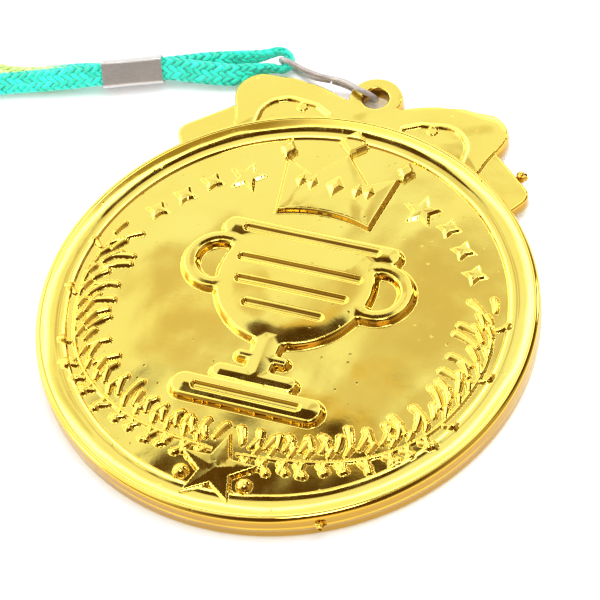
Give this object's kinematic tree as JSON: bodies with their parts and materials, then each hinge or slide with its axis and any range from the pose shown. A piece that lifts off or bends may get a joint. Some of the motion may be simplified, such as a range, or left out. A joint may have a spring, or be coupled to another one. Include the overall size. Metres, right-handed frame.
{
  "type": "prize medal",
  "caption": "Round gold-plated prize medal with a bow hanger, relief face, wire link and flat braided neck strap.",
  "frame": {"origin": "centre of the disc's flat back face", "axes": "+Z out of the relief face, +Y from the disc's centre to the eyelet, +X to the right as the face is read; the medal lies on its back"},
  "size_m": [0.1724, 0.0878, 0.0054],
  "materials": {
    "gold_plate": "mirror gold vacuum plating on plastic, with fine pits and a fuzzy parting line",
    "nickel_wire": "nickel-plated wire, slightly dull",
    "satin_steel": "satin folded sheet",
    "mint_braid": "glossy polyester flat braid, turquoise green",
    "lime_braid": "the same braid where its dye turns pale yellow-green",
    "tie_paper": "white paper-covered band"
  },
  "bodies": {
    "medal": {"front_shell": "gold_plate", "back_shell": "gold_plate"},
    "link": {"wire_link": "nickel_wire"},
    "strap": {"strap_ferrule": "satin_steel", "strap_loop": "mint_braid", "strap_leg_green": "mint_braid", "strap_leg_yellow": "lime_braid", "strap_coil": "mint_braid", "strap_tie": "tie_paper"}
  },
  "joints": [
    {"name": "link_swing", "type": "hinge", "parent": "medal", "child": "link", "pos_m": [0, 0.0431, 0.0025], "axis": [0, 0, 1], "range_deg": [-140, 0]},
    {"name": "strap_swing", "type": "hinge", "parent": "link", "child": "strap", "pos_m": [-0.0177, 0.04805, 0.0025], "axis": [-0.1096, -0.4565, 0.8829], "range_deg": [-30, 0]}
  ]
}
